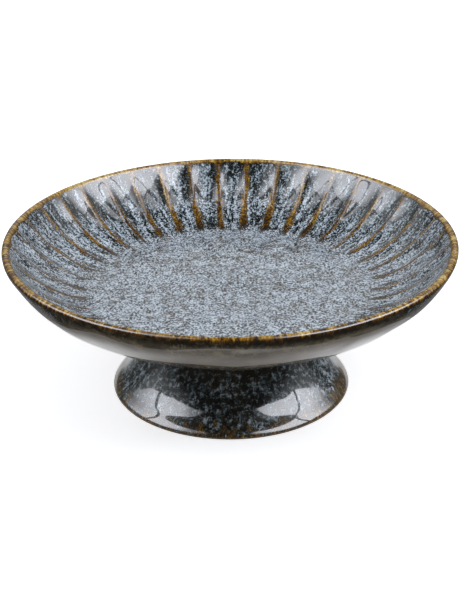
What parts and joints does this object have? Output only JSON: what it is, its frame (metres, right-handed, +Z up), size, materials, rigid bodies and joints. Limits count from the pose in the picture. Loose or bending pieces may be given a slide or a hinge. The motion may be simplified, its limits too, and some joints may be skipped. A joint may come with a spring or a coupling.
{
  "type": "footed bowl",
  "caption": "Shallow round stoneware bowl with a fluted inner wall on a flared hollow foot, reactive blue-grey glaze with brown edges.",
  "frame": {"origin": "centre of the ring that the foot stands on", "axes": "+Z up along the axis of the bowl and the foot; X and Y are interchangeable"},
  "size_m": [0.205, 0.205, 0.074],
  "materials": {
    "dish_glaze": "glossy reactive glaze, blue-grey, breaking brown on the ridges and the rim",
    "seam_slip": "glazed over, dark",
    "foot_glaze": "glossy dark blue-grey reactive glaze, bare clay on the standing ring"
  },
  "bodies": {
    "root": {"dish": "dish_glaze", "luting_seam": "seam_slip", "foot": "foot_glaze"}
  },
  "joints": []
}
